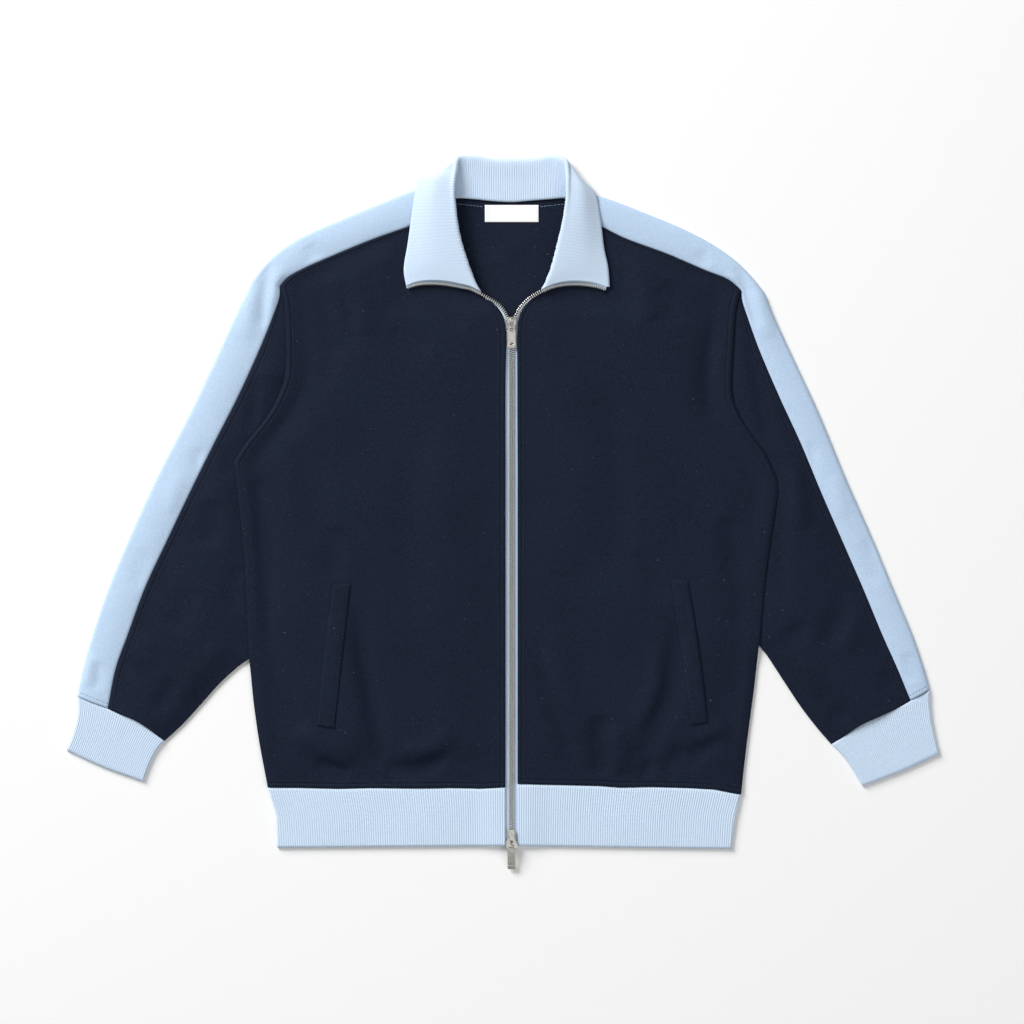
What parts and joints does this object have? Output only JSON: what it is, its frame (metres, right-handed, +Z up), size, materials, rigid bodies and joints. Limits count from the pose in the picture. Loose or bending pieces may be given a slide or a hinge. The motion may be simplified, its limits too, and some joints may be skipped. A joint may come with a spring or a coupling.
{
  "type": "track jacket",
  "caption": "Full-zip knit track jacket laid flat, collar turned down, striped sleeves, ribbed hem and cuffs, welt pockets and hinged zip pulls.",
  "frame": {"origin": "on the underside of the back panel, where it rests, under the zip at mid length", "axes": "+X to the wearer's left, +Y from the hem to the collar, +Z up out of the front"},
  "size_m": [0.9175, 0.7499, 0.0173],
  "materials": {
    "body_knit": "dark navy smooth interlock knit, matt with a faint fleck",
    "stripe_knit": "pale blue knit with fine wales",
    "rib_knit": "pale blue rib knit, matt",
    "zip_tape": "woven zip tape, pale blue",
    "zip_metal": "silver nickel plate",
    "label": "white woven satin, blank"
  },
  "bodies": {
    "root": {"back_panel": "body_knit", "front_right": "body_knit", "front_left": "body_knit", "sleeve_front_right": "body_knit", "sleeve_front_left": "body_knit", "sleeve_back_right": "body_knit", "sleeve_back_left": "body_knit", "stripe_right": "stripe_knit", "stripe_left": "stripe_knit", "cuff_right": "rib_knit", "cuff_left": "rib_knit", "hem_band": "rib_knit", "collar": "rib_knit", "pocket_welt_right": "body_knit", "pocket_welt_left": "body_knit", "zip_tape_right": "zip_tape", "zip_tape_left": "zip_tape", "collar_tape_right": "zip_tape", "collar_tape_left": "zip_tape", "zip_chain_right": "zip_metal", "zip_chain_left": "zip_metal", "slider_upper": "zip_metal", "slider_lower": "zip_metal", "neck_label": "label"},
    "upper_pull": {"pull_upper": "zip_metal"},
    "lower_pull": {"pull_lower": "zip_metal"}
  },
  "joints": [
    {"name": "upper_pull_hinge", "type": "hinge", "parent": "root", "child": "upper_pull", "pos_m": [0, 0.181, 0.00865], "axis": [-1, 0, 0], "range_deg": [0, 165]},
    {"name": "lower_pull_hinge", "type": "hinge", "parent": "root", "child": "lower_pull", "pos_m": [0, -0.363, 0.00915], "axis": [-1, 0, 0], "range_deg": [0, 165]}
  ]
}
